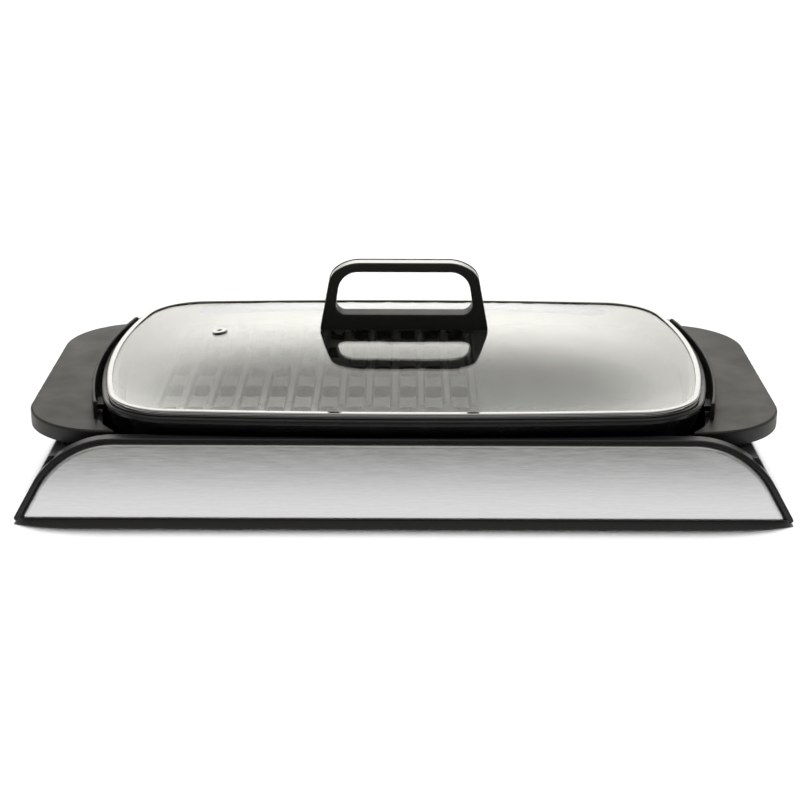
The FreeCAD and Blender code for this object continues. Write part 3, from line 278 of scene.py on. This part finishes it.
def glass():
    """Clear tempered glass, its faint green uneven."""
    made = Shader("glass", Transmission_Weight=1.0, IOR=1.78, Roughness=0.0)
    uneven = made.noise(scale=14, detail=1)
    made.set("Base Color", made.blend(uneven, (0.94, 0.96, 0.95), (0.97, 0.98, 0.97)))
    return made.material


MATERIALS = {finish.__name__: finish() for finish in (
    base_plastic, handle_plastic, loop_plastic, panel_steel, rim_steel, bright_inlay, nonstick,
    tray_steel, element_steel, zinc_steel, brass, ceramic, rubber, silicone, glass)}


def dress_nodes():
    """Gives every CAD node the finish of its own material slot, and rounds the sharp edges of some."""
    for row in frame["record"]["subparts"]:
        mesh = NODES[row["node"]].data
        mesh.materials.clear()
        mesh.materials.append(MATERIALS[row["material_slot"]])
    # The floor gets no light back from the panel, so the shadow before it stays deep
    NODES["front_panel"].visible_diffuse = False
    for name, width in EDGE_ROUNDS.items():
        rounding = NODES[name].modifiers.new("edge_round", "BEVEL")
        rounding.width = width
        rounding.segments = EDGE_SEGMENTS
        rounding.limit_method = "ANGLE"
        rounding.angle_limit = EDGE_ANGLE
        rounding.harden_normals = True


def stage_object(name, vertices, faces, paper):
    """A sheet of the stage, which isn't part of the object."""
    mesh = bpy.data.meshes.new(name)
    mesh.from_pydata(vertices, [], faces)
    mesh.materials.append(paper.material)
    made = bpy.data.objects.new(name, mesh)
    bpy.context.scene.collection.objects.link(made)
    return made


def level_sheet(half, front, back, z):
    """The corners and the face of a level rectangle."""
    corners = [(-half, front, z), (half, front, z), (half, back, z), (-half, back, z)]
    return corners, [(0, 1, 2, 3)]


def floor():
    half = FLOOR_SIZE / 2
    paper = Shader("floor_paper", Roughness=0.85, Specular_IOR_Level=0.0)
    paper.set("Base Color", paper.blend(paper.noise(scale=3), grey(0.93), grey(0.95)))
    stage_object("floor", *level_sheet(half, -half, half, 0), paper)


def glowing(name, vertices, faces, paint, mirrors):
    """A glowing sheet that only mirrors and glass show, or else only the camera sees."""
    paper = Shader(name, Roughness=1.0, Base_Color=(0, 0, 0, 1), Specular_IOR_Level=0.0,
                   Emission_Strength=1.0)
    paper.set("Emission Color", paint(paper))
    made = stage_object(name, vertices, faces, paper)
    made.visible_diffuse = False
    made.visible_shadow = False
    made.visible_glossy = mirrors
    made.visible_transmission = mirrors
    made.visible_camera = not mirrors


def front_card():
    """Lies on the floor, bright near the grill and dark farther out, for the panel to mirror."""
    def paint(paper):
        return paper.spread(paper.along_y(), to=CARD_LIGHT, span=CARD_FADE)

    sheet = level_sheet(CARD_HALF_LENGTH, CARD_END, CARD_START, CARD_HEIGHT)
    glowing("front_card", *sheet, paint, mirrors=True)


def sky(tree, direction, front_light, back_start):
    """Light by direction: a bright back, brightest above the horizon, and a dimmer front."""
    def span(source, to, limits):
        inputs = {"Value": source, "From Min": limits[0], "From Max": limits[1],
                  "To Min": to[0], "To Max": to[1]}
        return add_node(tree, "MapRange", inputs, "Result", interpolation_type="SMOOTHSTEP")

    def times(first, second):
        return add_node(tree, "Math", {0: first, 1: second}, "Value", operation="MULTIPLY")

    x, y, z = (add_node(tree, "SeparateXYZ", {"Vector": direction}, axis) for axis in "XYZ")
    aside = add_node(tree, "Math", {0: x}, "Value", operation="ABSOLUTE")
    falling = times(span(z, (1, HIGH_SHARE), HIGH_FALL), span(aside, (1, SIDE_SHARE), SIDE_FALL))
    back = times(span(z, BACK_LIGHT, BACK_RISE), falling)
    front = span(z, front_light, FRONT_RISE)
    share = span(y, (0, 1), (back_start, BACK_FULL))
    return add_node(tree, "Mix", {MIX_SHARE: share, MIX_FIRST: front, MIX_SECOND: back}, "Result")


def half_sphere(radius, steps):
    """The vertices and faces of a half sphere over the floor."""
    turn = math.tau / steps
    rings = steps // 4
    vertices = [(0, 0, radius)]
    for ring in range(1, rings + 1):
        across, up = radius * math.sin(ring * turn), radius * math.cos(ring * turn)
        vertices += [(across * math.cos(step * turn), across * math.sin(step * turn), up)
                     for step in range(steps)]
    faces = [(0, 1 + step, 1 + (step + 1) % steps) for step in range(steps)]
    for ring in range(rings - 1):
        upper = 1 + ring * steps
        lower = upper + steps
        for step in range(steps):
            after = (step + 1) % steps
            faces.append((upper + step, lower + step, lower + after, upper + after))
    return vertices, faces


def domes():
    """The sky that mirrors show, and the pale backdrop that the camera sees."""
    def sky_paint(paper):
        inputs = {0: paper.place}
        direction = paper.node("VectorMath", inputs, "Vector", operation="NORMALIZE")
        inputs = {0: SKY_TINT, "Scale": sky(paper.tree, direction, DOME_FRONT, DOME_BACK_START)}
        return paper.node("VectorMath", inputs, "Vector", operation="SCALE")

    def backdrop_paint(paper):
        return paper.blend(paper.noise(scale=0.1), grey(BACKDROP_DARK), grey(BACKDROP_LIGHT))

    shape = half_sphere(DOME_RADIUS, DOME_STEPS)
    glowing("dome", *shape, sky_paint, mirrors=True)
    glowing("backdrop", *shape, backdrop_paint, mirrors=False)


def world():
    """The sky that lights the floor: dark at the front, so that the shadow there stays deep."""
    made = bpy.data.worlds.new("studio")
    made.use_nodes = True
    tree = made.node_tree
    background = tree.nodes["Background"]
    direction = tree.nodes.new("ShaderNodeTexCoord").outputs["Generated"]
    light = sky(tree, direction, WORLD_FRONT, WORLD_BACK_START)
    tree.links.new(light, background.inputs["Strength"])
    background.inputs["Color"].default_value = (*SKY_TINT, 1)
    bpy.context.scene.world = made


def back_light():
    """One broad, soft light from high up behind, so that the shadow falls to the front."""
    data = bpy.data.lights.new("back_light", "SUN")
    data.energy = SUN_POWER
    data.angle = SUN_WIDTH
    made = bpy.data.objects.new("back_light", data)
    made.visible_glossy = False
    made.visible_transmission = False
    ray = Vector((0, -math.cos(SUN_HEIGHT), -math.sin(SUN_HEIGHT)))
    made.rotation_mode = "QUATERNION"
    made.rotation_quaternion = ray.to_track_quat("-Z", "Y")
    bpy.context.scene.collection.objects.link(made)


def camera():
    reach = math.cos(CAMERA_PITCH)
    ahead = Vector((math.sin(CAMERA_YAW) * reach, math.cos(CAMERA_YAW) * reach,
                    -math.sin(CAMERA_PITCH)))
    level = Vector((math.cos(CAMERA_YAW), -math.sin(CAMERA_YAW), 0))
    upright = level.cross(ahead)
    right = level * math.cos(CAMERA_ROLL) + upright * math.sin(CAMERA_ROLL)
    up = upright * math.cos(CAMERA_ROLL) - level * math.sin(CAMERA_ROLL)
    data = bpy.data.cameras.new("camera")
    data.sensor_width = SENSOR
    data.lens = FOCAL_PIXELS / FRAME_PIXELS * SENSOR
    made = bpy.data.objects.new("camera", data)
    turn = Matrix((right, up, -ahead)).transposed().to_4x4()
    made.matrix_world = Matrix.Translation(CAMERA_PLACE) @ turn
    bpy.context.scene.collection.objects.link(made)
    bpy.context.scene.camera = made


def main():
    dress_nodes()
    floor()
    front_card()
    domes()
    world()
    back_light()
    camera()
    bpy.context.scene.view_settings.view_transform = "Standard"


main()
